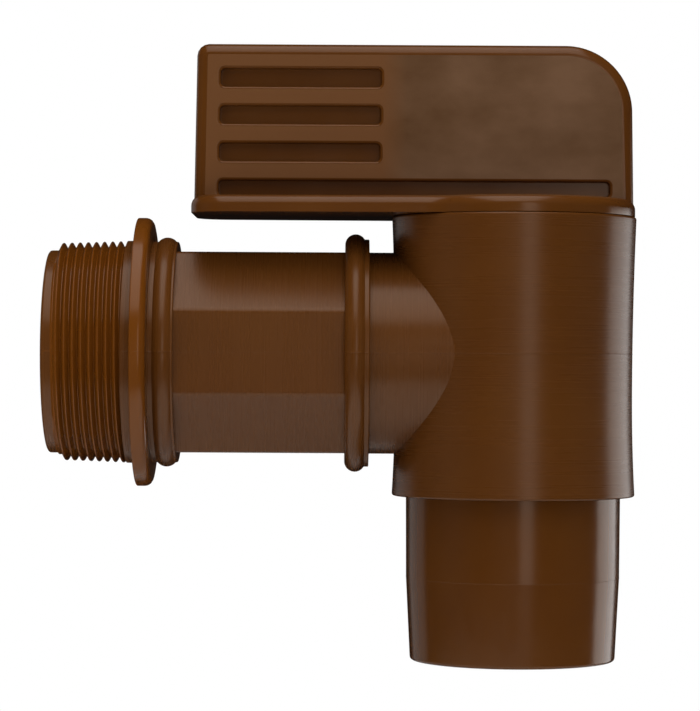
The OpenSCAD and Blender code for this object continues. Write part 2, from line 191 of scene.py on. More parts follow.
class DrumTapColours(bpy.types.PropertyGroup):
    """Colours of the plastics, the rubber and the studio"""

    brown: colour("Brown plastic", "#57310F", "The polyethylene of both mouldings")
    brown_deep: colour("Deep brown", "#522D0E", "The darker swirls in the polyethylene")
    # Painted light: the thread and the flange get this paler brown to stand in for the extra light
    # on them; their plastic is the same brown as the rest
    brown_painted_light: colour("Pale brown", "#64360B", "The thread and the flange, thin and paler")
    # Painted sheen: the panel colours are greyer than the plastic to stand in for light that the
    # matt panel scatters back, in paler and darker patches, with less of it in the browner stretch
    # by the grooves
    panel: colour("Matt panel", "#664932", "The flag's spark-eroded panel")
    panel_deep: colour("Deep panel", "#4C3016", "The panel's darker patches")
    panel_warm: colour("Warm panel", "#613C1D", "The panel's browner end, with the grooves")
    rubber: colour("Rubber", "#1C1B1A", "The seal rings")
    rubber_dust: colour("Rubber dust", "#292827", "The paler spots on the seal rings")
    floor: colour("Floor", "#E9E8E6", "The pale floor")


def round_corner(bm, vert, radius, segments):
    """Rounds the corner of a wire at a vertex that has two edges."""
    arms = [edge.other_vert(vert).co - vert.co for edge in vert.link_edges]
    half = arms[0].angle(arms[1]) / 2
    bmesh.ops.bevel(
        bm,
        geom=[vert],
        offset=radius / math.tan(half),
        offset_type="OFFSET",
        segments=segments,
        profile=0.5,
        affect="VERTICES",
        material=-1,
    )


def draw_wire(bm, corners, closed):
    """A wire through (point, rounding) corners, with its rounded corners beveled."""
    verts = [bm.verts.new(point) for point, _ in corners]
    following = verts[1:] + verts[:1] if closed else verts[1:]
    for here, there in zip(verts, following):
        bm.edges.new((here, there))
    for vert, (_, rounding) in zip(verts, corners):
        if rounding:
            # One segment to each 0.75 mm of radius, within limits
            segments = min(24, max(4, round(rounding / (0.75 * MM))))
            round_corner(bm, vert, rounding, segments)


def turned(corners, centre, axis, radial):
    """A solid turned from (place along axis, radius, rounding) corners. The first and the
    last of them lie on the axis."""
    bm = bmesh.new()
    profile = [(centre + axis * along + radial * r, rounding) for along, r, rounding in corners]
    draw_wire(bm, profile, closed=False)
    bmesh.ops.spin(
        bm,
        geom=bm.verts[:] + bm.edges[:],
        cent=centre,
        axis=axis,
        angle=math.tau,
        steps=TURN_STEPS,
        use_merge=True,
    )
    bmesh.ops.remove_doubles(bm, verts=bm.verts, dist=MERGE)
    bmesh.ops.recalc_face_normals(bm, faces=bm.faces)
    return bm


def cylinder(r_start, r_end, start, axis, depth):
    """A closed cylinder or cone from start along axis."""
    bm = bmesh.new()
    turn = UP.rotation_difference(axis).to_matrix().to_4x4()
    bmesh.ops.create_cone(
        bm,
        cap_ends=True,
        segments=TURN_STEPS,
        radius1=r_start,
        radius2=r_end,
        depth=depth,
        matrix=Matrix.Translation(start + axis * depth / 2) @ turn,
    )
    return bm


def bevel_edges(bm, edges, width, segments):
    bmesh.ops.bevel(
        bm,
        geom=edges,
        offset=width,
        offset_type="OFFSET",
        segments=segments,
        profile=0.5,
        affect="EDGES",
        clamp_overlap=False,
        material=-1,
    )


def to_object(bm, name):
    """Turns a bmesh into an object of the scene and frees it."""
    mesh = bpy.data.meshes.new(name)
    bm.to_mesh(mesh)
    bm.free()
    obj = bpy.data.objects.new(name, mesh)
    bpy.context.scene.collection.objects.link(obj)
    return obj


def combine(target, bm, operation):
    """Joins the bmesh to the target object, or cuts it away, as solids."""
    tool = to_object(bm, "tool")
    modifier = target.modifiers.new("Combine", "BOOLEAN")
    modifier.operation = operation
    modifier.solver = "MANIFOLD"
    modifier.object = tool
    evaluated = target.evaluated_get(bpy.context.evaluated_depsgraph_get())
    mesh = bpy.data.meshes.new_from_object(evaluated)
    target.modifiers.clear()
    old = target.data
    target.data = mesh
    bpy.data.meshes.remove(old)
    bpy.data.objects.remove(tool)
    if not mesh.polygons:
        raise RuntimeError(f"{target.name} came out empty")


def crest_r(sizes, x):
    """Radius over the thread's crests at a place along the inlet."""
    start = -sizes.seat_collar_length - sizes.thread_length
    share = (x - start) / sizes.thread_length
    return sizes.crest_small_r + (sizes.crest_large_r - sizes.crest_small_r) * share


def threaded_plug(sizes):
    """The taper thread as a closed solid: one pitch swept along a helix, then trimmed."""
    start = -sizes.seat_collar_length - sizes.thread_length
    end = -sizes.seat_collar_length + sizes.crest_flat
    pitch = sizes.thread_pitch
    crest = sizes.crest_small_r
    root = crest - sizes.thread_depth
    hidden_r = sizes.lead_in_r - sizes.edge_round
    rise_x = start + sizes.thread_clear
    turns = math.ceil((end - start) / pitch + 1)
    half_crest = sizes.crest_flat / 2
    half_foot = (pitch - sizes.root_flat) / 2
    middle = start - pitch / 2
    bm = bmesh.new()
    profile = [
        (middle - pitch / 2, root, 0),
        (middle - half_foot, root, 0),
        (middle - half_crest, crest, sizes.crest_round),
        (middle + half_crest, crest, sizes.crest_round),
        (middle + half_foot, root, 0),
        (middle + pitch / 2, root, 0),
    ]
    draw_wire(bm, [(Vector((x, r, 0)), rounding) for x, r, rounding in profile], closed=False)
    bmesh.ops.spin(
        bm,
        geom=bm.verts[:] + bm.edges[:],
        cent=ORIGIN,
        axis=ALONG,
        dvec=ALONG * pitch / THREAD_STEPS,
        angle=math.tau * turns,
        steps=THREAD_STEPS * turns,
    )
    bmesh.ops.remove_doubles(bm, verts=bm.verts, dist=5 * MERGE)
    for vert in bm.verts:
        radial = Vector((0, vert.co.y, vert.co.z))
        tapered = radial.length + crest_r(sizes, vert.co.x) - crest
        limit = hidden_r + max(0, vert.co.x - rise_x) * sizes.start_slope
        vert.co += radial.normalized() * (min(tapered, limit) - radial.length)
    for place, side in ((start, -1), (end, 1)):
        bmesh.ops.bisect_plane(
            bm,
            geom=bm.verts[:] + bm.edges[:] + bm.faces[:],
            plane_co=ALONG * place,
            plane_no=ALONG * side,
            clear_outer=True,
        )
    bmesh.ops.edgeloop_fill(bm, edges=[edge for edge in bm.edges if edge.is_boundary])
    bmesh.ops.recalc_face_normals(bm, faces=bm.faces)
    return bm


def arc(centre, radius, start, end, steps):
    """Points along an arc, both ends included."""
    angles = [start + (end - start) * i / steps for i in range(steps + 1)]
    return [centre + radius * Vector((math.cos(a), math.sin(a))) for a in angles]


def ring_profile(x, section_r, over_r, left_r, right_r):
    """Profile of a ring with a round section, between the surfaces it stands on."""
    centre_r = over_r - section_r
    start = math.pi - math.asin(max(0, left_r - centre_r) / section_r)
    end = math.asin(max(0, right_r - centre_r) / section_r)
    points = arc(Vector((x, centre_r)), section_r, start, end, RING_STEPS)
    return [(along, r, 0) for along, r in points]


def inlet_solid(sizes):
    """Everything turned on the inlet axis, from the mouth to the barrel's axis."""
    start = -sizes.seat_collar_length - sizes.thread_length
    wall_r = (sizes.neck_r + sizes.inlet_bore_r) / 2
    fine = sizes.edge_round
    corners = [
        (start - sizes.lead_in_length, 0, 0),
        (start - sizes.lead_in_length, sizes.lead_in_r, sizes.lead_in_round),
        (start + sizes.thread_pitch, sizes.lead_in_r, 0),
        (start + sizes.thread_pitch, wall_r, 0),
        (-sizes.seat_collar_length, wall_r, 0),
        (-sizes.seat_collar_length, sizes.seat_collar_r, fine / 2),
        (0, sizes.seat_collar_r, 0),
        (0, sizes.flange_r, sizes.flange_bevel),
        (sizes.flange_thickness, sizes.flange_r, sizes.flange_round),
        (sizes.flange_thickness, sizes.shank_r, fine),
        *ring_profile(
            sizes.ring_a_x, sizes.ring_a_section_r, sizes.ring_a_r, sizes.shank_r, sizes.shank_r
        ),
        (sizes.shank_length, sizes.shank_r, fine),
        (sizes.shank_length, wall_r, 0),
        (sizes.ring_b_x - sizes.ring_b_section_r, wall_r, 0),
        *ring_profile(
            sizes.ring_b_x, sizes.ring_b_section_r, sizes.ring_b_r, 0, sizes.collar_b_r
        ),
        (sizes.ring_b_x + sizes.collar_b_reach, sizes.collar_b_r, fine),
        (sizes.ring_b_x + sizes.collar_b_reach, sizes.neck_r, fine),
        (sizes.barrel_x, sizes.neck_r, 0),
        (sizes.barrel_x, 0, 0),
    ]
    return turned(corners, ORIGIN, ALONG, UP)


def spanner_shell(sizes):
    """The eight-sided neck, with rounded long edges."""
    start = sizes.shank_length - sizes.edge_round
    depth = sizes.ring_b_x - start
    corner_r = sizes.spanner_flats / 2 / math.cos(math.pi / 8)
    bm = bmesh.new()
    turn = Matrix.Rotation(math.pi / 2, 4, "Y") @ Matrix.Rotation(math.pi / 8, 4, "Z")
    bmesh.ops.create_cone(
        bm,
        cap_ends=True,
        segments=8,
        radius1=corner_r,
        radius2=corner_r,
        depth=depth,
        matrix=Matrix.Translation(ALONG * (start + depth / 2)) @ turn,
    )
    long_edges = [e for e in bm.edges if abs(e.verts[0].co.x - e.verts[1].co.x) > depth / 2]
    bevel_edges(bm, long_edges, sizes.spanner_round, 5)
    return bm


def barrel_r(sizes, z):
    """Outer radius of the waisted barrel at a height."""
    above = z > sizes.barrel_waist_z
    end_z = sizes.barrel_top_z if above else sizes.barrel_bottom_z
    end_r = sizes.barrel_top_r if above else sizes.barrel_bottom_r
    share = (z - sizes.barrel_waist_z) / (end_z - sizes.barrel_waist_z)
    return sizes.barrel_waist_r + (end_r - sizes.barrel_waist_r) * share**2


def barrel_solid(sizes):
    """The barrel's outside, as a solid that the bore is cut from."""
    steps = 40
    bevel = sizes.barrel_bevel
    low = sizes.barrel_bottom_z
    rise = sizes.barrel_top_z - low
    heights = [low + rise * i / steps for i in range(1, steps)]
    corners = [
        (low, 0, 0),
        (low, barrel_r(sizes, low), bevel),
        *[(z, barrel_r(sizes, z), 0) for z in heights],
        (sizes.barrel_top_z, barrel_r(sizes, sizes.barrel_top_z), bevel),
        (sizes.barrel_top_z, 0, 0),
    ]
    return turned(corners, ALONG * sizes.barrel_x, UP, -ALONG)


def barrel_way(sizes, rotor):
    """The barrel's bore with its lead-in at the top and the groove for the snap bead."""
    past = sizes.barrel_bevel
    groove_r = rotor.plug_r + rotor.bead_height + rotor.bead_gap
    half = rotor.bead_height + rotor.bead_gap
    corners = [
        (sizes.barrel_bottom_z - past, 0, 0),
        (sizes.barrel_bottom_z - past, sizes.barrel_bore_r, 0),
        (rotor.bead_z - half, sizes.barrel_bore_r, 0),
        (rotor.bead_z - half, groove_r, 0),
        (rotor.bead_z + half, groove_r, 0),
        (rotor.bead_z + half, sizes.barrel_bore_r, 0),
        (sizes.barrel_top_z - past, sizes.barrel_bore_r, 0),
        (sizes.barrel_top_z + past, sizes.barrel_bore_r + 2 * past, 0),
        (sizes.barrel_top_z + past, 0, 0),
    ]
    return turned(corners, ALONG * sizes.barrel_x, UP, -ALONG)


def raise_parting_line(mesh, sizes):
    """A fine ridge at the height of the inlet axis, where the mould's halves met."""
    bm = bmesh.new()
    bm.from_mesh(mesh)
    for height in (-sizes.parting_width / 2, 0, sizes.parting_width / 2):
        bmesh.ops.bisect_plane(
            bm,
            geom=bm.verts[:] + bm.edges[:] + bm.faces[:],
            plane_co=UP * height,
            plane_no=UP,
            dist=MERGE,
        )
    wall = (sizes.neck_r - sizes.inlet_bore_r) / 2
    for vert in bm.verts:
        if abs(vert.co.z) > MERGE:
            continue
        from_axis = Vector((vert.co.x - sizes.barrel_x, vert.co.y, 0))
        if from_axis.length < sizes.barrel_waist_r + wall:
            outside = from_axis.length > sizes.barrel_waist_r - MERGE
            outward = from_axis.normalized()
        else:
            outside = abs(vert.co.y) > sizes.inlet_bore_r + wall
            outward = Vector((0, vert.co.y, 0)).normalized()
        if outside:
            vert.co += outward * sizes.parting_height
    bm.to_mesh(mesh)
    bm.free()


def inlet_way(sizes):
    """The way through the inlet: a straight bore, then a cone down to the orifice."""
    mouth = -sizes.seat_collar_length - sizes.thread_length - sizes.lead_in_length
    narrowed = sizes.narrowing_x + sizes.narrowing_length
    corners = [
        (mouth - 1 * MM, 0, 0),
        (mouth - 1 * MM, sizes.inlet_bore_r, 0),
        (sizes.narrowing_x, sizes.inlet_bore_r, 0),
        (narrowed, sizes.port_r, 0),
        (sizes.barrel_x, sizes.port_r, 0),
        (sizes.barrel_x, 0, 0),
    ]
    return turned(corners, ORIGIN, ALONG, UP)


def plug_solid(sizes, body):
    """Plug and spout outside, with both seal grooves and the snap bead."""
    groove_r = sizes.plug_r - sizes.seal_groove
    half = sizes.seal_groove / 2
    line_half = body.parting_width / 2
    top = body.barrel_top_z + sizes.plate_gap + sizes.plate_round
    corners = [
        (sizes.spout_end_z, 0, 0),
        (sizes.spout_end_z, sizes.spout_end_r, sizes.spout_lip_round),
        (sizes.spout_line_z - line_half, sizes.spout_line_r, 0),
        (sizes.spout_line_z, sizes.spout_line_r + body.parting_height, 0),
        (sizes.spout_line_z + line_half, sizes.spout_line_r, 0),
        (body.barrel_bottom_z, sizes.plug_r, 0),
        (sizes.bead_z - sizes.bead_height, sizes.plug_r, 0),
        (sizes.bead_z, sizes.plug_r + sizes.bead_height, 0),
        (sizes.bead_z + sizes.bead_height, sizes.plug_r, 0),
    ]
    for height in (sizes.lower_seal_z, sizes.upper_seal_z):
        corners += [
            (height - half, sizes.plug_r, 0),
            (height - half, groove_r, 0),
            (height + half, groove_r, 0),
            (height + half, sizes.plug_r, 0),
        ]
    corners += [(top, sizes.plug_r, 0), (top, 0, 0)]
    return turned(corners, ALONG * body.barrel_x, UP, -ALONG)


def plug_way(sizes, body):
    """The hollow from the spout's mouth up to its domed roof."""
    bottom = sizes.spout_end_z - 1 * MM
    corners = [
        (bottom, 0, 0),
        (bottom, sizes.spout_bore_r, 0),
        (sizes.chamber_top_z, sizes.spout_bore_r, sizes.roof_round),
        (sizes.chamber_top_z, 0, 0),
    ]
    return turned(corners, ALONG * body.barrel_x, UP, -ALONG)


def plate_outline(sizes):
    """Half of the base plate's outline round the barrel's axis, from the disc's back to the
    tongue's tip: a disc, a hollow fillet, the tongue's straight side and its corner."""
    lean = math.atan((sizes.tongue_root_half - sizes.tongue_tip_half) / sizes.tongue_reach)
    # The tongue's side runs this way through (0, root half), and out points away from it
    along = Vector((-math.cos(lean), -math.sin(lean)))
    out = Vector((-math.sin(lean), math.cos(lean)))
    side = sizes.tongue_root_half * math.cos(lean)
    # The fillet touches the disc and the tongue's side from outside
    clear = side + sizes.plate_fillet
    reach = math.sqrt((sizes.plate_r + sizes.plate_fillet) ** 2 - clear**2)
    fillet = out * clear + along * reach
    # The corner touches the tongue's side and its tip from inside
    corner_x = sizes.tongue_corner_r - sizes.tongue_reach
    corner_y = (side - sizes.tongue_corner_r - corner_x * out.x) / out.y
    touch = math.atan2(fillet.y, fillet.x)
    outward = math.atan2(out.y, out.x)
    points = arc(Vector((0, 0)), sizes.plate_r, 0, touch, 48)
    points += arc(fillet, sizes.plate_fillet, touch - math.pi, outward - math.pi, 12)
    points += arc(Vector((corner_x, corner_y)), sizes.tongue_corner_r, outward, math.pi, 14)
    return points


def plate_shell(sizes, body):
    """The base plate: a disc over the barrel and a tongue under the flag, rounded on top."""
    bottom = body.barrel_top_z + sizes.plate_gap
    half = plate_outline(sizes)
    outline = half + [Vector((x, -y)) for x, y in reversed(half[1:])]
    bm = bmesh.new()
    verts = [bm.verts.new((body.barrel_x + x, y, bottom)) for x, y in outline]
    base = bm.faces.new(verts)
    grown = bmesh.ops.extrude_face_region(bm, geom=[base], use_keep_orig=True)["geom"]
    lifted = [item for item in grown if isinstance(item, bmesh.types.BMVert)]
    bmesh.ops.translate(bm, verts=lifted, vec=UP * sizes.plate_thickness)
    bmesh.ops.recalc_face_normals(bm, faces=bm.faces)
    middle = bottom + sizes.plate_thickness / 2
    top_rim = [e for e in bm.edges if all(v.co.z > middle for v in e.verts)]
    bevel_edges(bm, top_rim, sizes.plate_round, 8)
    low_rim = [e for e in bm.edges if all(v.co.z < bottom + MERGE for v in e.verts)]
    bevel_edges(bm, low_rim, body.edge_round / 2, 2)
    return bm


def flag_outline(sizes, body):
    """Corners of the flag's face, with their roundings, from the lower free corner round."""
    base_z = body.barrel_top_z + sizes.plate_gap + sizes.plate_thickness / 2
    y = -sizes.flag_thickness / 2
    axis = body.barrel_x
    corners = [
        (axis - sizes.flag_reach - sizes.flag_draft, base_z, 0),
        (axis + sizes.flag_back + sizes.flag_draft, base_z, 0),
        (axis + sizes.flag_back, sizes.flag_top_z, sizes.flag_back_corner_r),
        (axis - sizes.flag_reach, sizes.flag_top_z, sizes.flag_front_corner_r),
    ]
    return [(Vector((x, y, z)), rounding) for x, z, rounding in corners]


def split_faces(bm, faces, point, normal):
    """Cuts the given faces along a plane, and gives all the faces that come of them."""
    edges = {edge for face in faces for edge in face.edges}
    verts = {vert for face in faces for vert in face.verts}
    cut = bmesh.ops.bisect_plane(
        bm,
        geom=list(faces) + list(edges) + list(verts),
        plane_co=point,
        plane_no=normal,
        dist=MERGE,
    )
    return [item for item in cut["geom"] if isinstance(item, bmesh.types.BMFace)]


def groove_boxes(sizes, body):
    """Left, right, low and high limits of each groove, the long one at the base first."""
    plate_top = body.barrel_top_z + sizes.plate_gap + sizes.plate_thickness
    boxes = []
    for i in range(sizes.groove_count):
        low = plate_top + i * sizes.groove_pitch
        rise = (low - plate_top) / (sizes.flag_top_z - plate_top)
        left = body.barrel_x - sizes.flag_reach - sizes.flag_draft * (1 - rise) + sizes.groove_inset
        right = left + sizes.groove_length
        high = low + sizes.groove_height
        if i == 0:
            right = body.barrel_x + sizes.flag_back - sizes.long_groove_margin
            low -= sizes.plate_thickness / 4
        boxes.append((left, right, low, high))
    return boxes


def edges_in(bm, y, box):
    """Edges that lie on or inside a box in the plane at y."""
    left, right, low, high = box
    slack = 2 * MERGE

    def inside(vert):
        x, here, z = vert.co
        level = abs(here - y) < slack
        return level and left - slack < x < right + slack and low - slack < z < high + slack

    return [edge for edge in bm.edges if all(inside(vert) for vert in edge.verts)]


def sink_groove(bm, sizes, box, fine):
    """Pushes a groove's face in, then rounds its corners, its rim and its floor."""
    left, right, low, high = box
    face_y = -sizes.flag_thickness / 2
    middle = Vector(((left + right) / 2, face_y, (low + high) / 2))
    face = min(bm.faces, key=lambda f: (f.calc_center_median() - middle).length)
    floor = bmesh.ops.extrude_discrete_faces(bm, faces=[face])["faces"][0].verts[:]
    bmesh.ops.translate(bm, verts=floor, vec=-NEAR * sizes.groove_depth)
    upright = [
        edge
        for vert in floor
        for edge in vert.link_edges
        if abs(edge.verts[0].co.y - edge.verts[1].co.y) > sizes.groove_depth / 2
    ]
    bevel_edges(bm, upright, sizes.groove_corner_r, 5)
    bevel_edges(bm, edges_in(bm, face_y, box), sizes.groove_edge_round, 4)
    bevel_edges(bm, edges_in(bm, face_y + sizes.groove_depth, box), fine, 2)


def flag_shell(sizes, body):
    """The flag: one face with its grooves sunk in, rounded, then mirrored to the other."""
    face_y = -sizes.flag_thickness / 2
    bm = bmesh.new()
    draw_wire(bm, flag_outline(sizes, body), closed=True)
    bmesh.ops.edgeloop_fill(bm, edges=bm.edges[:])
    rim = bm.edges[:]
    grown = bmesh.ops.extrude_edge_only(bm, edges=rim)["geom"]
    inner = [item for item in grown if isinstance(item, bmesh.types.BMVert)]
    bmesh.ops.translate(bm, verts=inner, vec=-NEAR * sizes.flag_thickness / 2)
    bevel_edges(bm, rim, sizes.flag_round, 8)
    panel = [f for f in bm.faces if abs(f.calc_center_median().y - face_y) < MERGE]
    boxes = groove_boxes(sizes, body)
    for left, right, low, high in boxes:
        for height in (low, high):
            panel = split_faces(bm, panel, UP * height, UP)
        band = [f for f in panel if low < f.calc_center_median().z < high]
        rest = [f for f in panel if f not in band]
        for place in (left, right):
            band = split_faces(bm, band, ALONG * place, ALONG)
        panel = rest + band
    for box in boxes:
        sink_groove(bm, sizes, box, body.edge_round)
    bmesh.ops.recalc_face_normals(bm, faces=bm.faces)
    bmesh.ops.mirror(bm, geom=bm.verts[:] + bm.edges[:] + bm.faces[:], axis="Y", merge_dist=MERGE)
    bmesh.ops.remove_doubles(bm, verts=bm.verts, dist=MERGE)
    bmesh.ops.recalc_face_normals(bm, faces=bm.faces)
    return bm


def finish_mesh(obj):
    """Smooth faces with crisp corners, and normals led by the larger faces."""
    mesh = obj.data
    mesh.shade_smooth()
    mesh.set_sharp_from_angle(angle=CRISP_ANGLE)
    modifier = obj.modifiers.new("Weighted normals", "WEIGHTED_NORMAL")
    modifier.keep_sharp = True


def add_node(tree, kind, settings=None, links=None):
    """Adds a node, sets its properties and sockets, and links its sockets to other outputs."""
    node = tree.nodes.new(kind)
    for key, value in (settings or {}).items():
        if isinstance(key, str) and hasattr(node, key):
            setattr(node, key, value)
        else:
            node.inputs[key].default_value = value
    for key, source in (links or {}).items():
        tree.links.new(source, node.inputs[key])
    return node


# The colour sockets of a Mix node, which share their names with its number sockets
MIX_A = 6
MIX_B = 7
MIX_COLOUR = 2


def empty_material(name):
    material = bpy.data.materials.new(name)
    material.use_nodes = True
    material.node_tree.nodes.clear()
    return material


# Refractive indices
POLYETHYLENE_IOR = 1.51
RUBBER_IOR = 1.52
# Where a noise texture's values mostly lie
NOISE_LOW = 0.3
NOISE_HIGH = 0.7
# The brown pigment warms what the plastic's skin reflects
BROWN_SHEEN = "#FFE8D4"
NEUTRAL_SHEEN = "#FFFFFF"


def moulded(name, tones, patches, reliefs, gloss, ior, sheen, fade=None):
    """A solid plastic or rubber as it leaves its mould. tones are its darker and lighter
    colour, and patches the size of the areas where one or the other shows. reliefs are the
    marks that the mould left, as (grain, depth), and gloss is the roughness that goes with
    the first of them. Grains and patches are sizes along X, Y and Z. fade is another colour
    that the plastic starts from, with the places along X where it starts and stops giving
    way to the tones."""
    material = empty_material(name)
    tree = material.node_tree
    place = add_node(tree, "ShaderNodeTexCoord").outputs["Object"]
    noises = []
    for size in (patches, *[grain for grain, depth in reliefs]):
        stretched = add_node(
            tree, "ShaderNodeMapping", {"Scale": [1 / side for side in size]}, {"Vector": place}
        )
        spots = add_node(
            tree,
            "ShaderNodeTexNoise",
            {"Scale": 1.0, "Detail": 4.0, "Roughness": 0.55},
            {"Vector": stretched.outputs["Vector"]},
        )
        noises.append(spots.outputs["Fac"])
    share = add_node(
        tree,
        "ShaderNodeMapRange",
        {"From Min": NOISE_LOW, "From Max": NOISE_HIGH},
        {"Value": noises[0]},
    )
    base = add_node(
        tree,
        "ShaderNodeMix",
        {"data_type": "RGBA", MIX_A: tones[0], MIX_B: tones[1]},
        {0: share.outputs["Result"]},
    ).outputs[MIX_COLOUR]
    if fade:
        first, start, end = fade
        along = add_node(tree, "ShaderNodeSeparateXYZ", links={"Vector": place}).outputs["X"]
        given_way = add_node(
            tree, "ShaderNodeMapRange", {"From Min": start, "From Max": end}, {"Value": along}
        ).outputs["Result"]
        base = add_node(
            tree,
            "ShaderNodeMix",
            {"data_type": "RGBA", MIX_A: first},
            {0: given_way, MIX_B: base},
        ).outputs[MIX_COLOUR]
    links = {}
    for height, (grain, depth) in zip(noises[1:], reliefs):
        relief = add_node(
            tree,
            "ShaderNodeBump",
            {"Strength": 1.0, "Distance": depth},
            {"Height": height, **links},
        )
        links = {"Normal": relief.outputs["Normal"]}
    roughness = add_node(
        tree,
        "ShaderNodeMapRange",
        {"From Min": NOISE_LOW, "From Max": NOISE_HIGH, "To Min": gloss[0], "To Max": gloss[1]},
        {"Value": noises[1]},
    )
    shader = add_node(
        tree,
        "ShaderNodeBsdfPrincipled",
        {"IOR": ior, "Specular Tint": linear(sheen)},
        {
            "Base Color": base,
            "Roughness": roughness.outputs["Result"],
            **links,
        },
    )
    add_node(tree, "ShaderNodeOutputMaterial", links={"Surface": shader.outputs["BSDF"]})
    return material


def millimetres(*sides):
    return [side * MM for side in sides]


# How the mould's steel was finished: turned in rings round the inlet or round the barrel, or
# polished by hand
TURNED_ROUND_X = (millimetres(0.9, 60, 60), 0.001 * MM)
TURNED_ROUND_Z = (millimetres(60, 60, 1.3), 0.0006 * MM)
UNEVEN = (millimetres(4, 4, 6), 0.03 * MM)
POLISHED = (millimetres(9, 9, 9), 0.004 * MM)
# Lowest and highest roughness
SATIN_GLOSS = (0.26, 0.29)
MOULDED_GLOSS = (0.17, 0.22)
POLISHED_GLOSS = (0.12, 0.17)


def moulded_polyethylene(name, tones, finish, gloss):
    """Brown polyethylene from a smooth steel mould: semi-matt, its colour faintly swirled
    where the pigment flowed, with the tool's finish as its relief."""
    swirls = millimetres(26, 26, 26)
    return moulded(name, tones, swirls, [finish], gloss, POLYETHYLENE_IOR, BROWN_SHEEN)


def eroded_polyethylene(name, colours, start, end):
    """The flag's flat panels: the same plastic from a spark-eroded stretch of the mould, matt.
    Their colour holds painted sheen: greyer than the plastic, in paler and darker patches of
    painted sheen, browner up to start along X and turning to the painted grey by end. Its pits
    are about 0.1 mm wide, and are drawn three times as wide so that they show."""
    # Darker and paler tones of painted sheen
    tones = (colours.panel_deep, colours.panel)
    reliefs = [(millimetres(0.35, 0.35, 0.35), 0.02 * MM)]
    # Patches of painted sheen
    patches = millimetres(21, 21, 13)
    gloss = (0.50, 0.58)
    # Less painted sheen by the grooves: browner up to start, greyer past end
    fade = (colours.panel_warm, start, end)
    return moulded(name, tones, patches, reliefs, gloss, POLYETHYLENE_IOR, BROWN_SHEEN, fade)


def moulded_rubber(name, colours):
    """Black nitrile rubber from a polished mould: dark, with a dull sheen and fine dust."""
    tones = (colours.rubber, colours.rubber_dust)
    reliefs = [(millimetres(1.2, 1.2, 1.2), 0.004 * MM)]
    patches = millimetres(1.2, 1.2, 1.2)
    return moulded(name, tones, patches, reliefs, (0.45, 0.6), RUBBER_IOR, NEUTRAL_SHEEN)


def assign_materials(mesh, materials, choose):
    """Gives each face the material whose place in the list choose works out."""
    mesh.materials.clear()
    for material in materials:
        mesh.materials.append(material)
    for face in mesh.polygons:
        face.material_index = choose(face.center, face.normal)


class OBJECT_OT_drum_tap_body(bpy.types.Operator):
    """Builds the body moulding: inlet with its taper thread, flange, neck and barrel"""

    bl_idname = "object.drum_tap_body"
    bl_label = "Body moulding"
    bl_options = {"REGISTER", "UNDO"}

    def execute(self, context):
        sizes = context.scene.drum_tap_body
        rotor = context.scene.drum_tap_rotor
        colours = context.scene.drum_tap_colours
        body = to_object(inlet_solid(sizes), "tap_body")
        combine(body, threaded_plug(sizes), "UNION")
        combine(body, spanner_shell(sizes), "UNION")
        combine(body, barrel_solid(sizes), "UNION")
        combine(body, inlet_way(sizes), "DIFFERENCE")
        combine(body, barrel_way(sizes, rotor), "DIFFERENCE")
        raise_parting_line(body.data, sizes)
        finish_mesh(body)
        tones = (colours.brown_deep, colours.brown)
        # Painted light: a paler brown on the thread and the flange, for the extra light on them
        paler = (colours.brown_painted_light, colours.brown_painted_light)
        materials = [
            moulded_polyethylene("polyethylene_inlet", tones, TURNED_ROUND_X, SATIN_GLOSS),
            moulded_polyethylene("polyethylene_barrel", tones, TURNED_ROUND_Z, SATIN_GLOSS),
            moulded_polyethylene("polyethylene_thread_painted_light", paler, POLISHED, MOULDED_GLOSS),
        ]

        def choose(centre, normal):
            radius = math.hypot(centre.y, centre.z)
            on_thread = centre.x < -sizes.seat_collar_length and radius > sizes.lead_in_r
            # The thread and the flange take the paler brown of painted light
            if on_thread or 0 < centre.x < sizes.flange_thickness:
                return 2
            from_axis = math.hypot(centre.x - sizes.barrel_x, centre.y)
            return int(from_axis < barrel_r(sizes, centre.z) + sizes.edge_round)

        assign_materials(body.data, materials, choose)
        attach(body, "body")
        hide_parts("body")
        return {"FINISHED"}


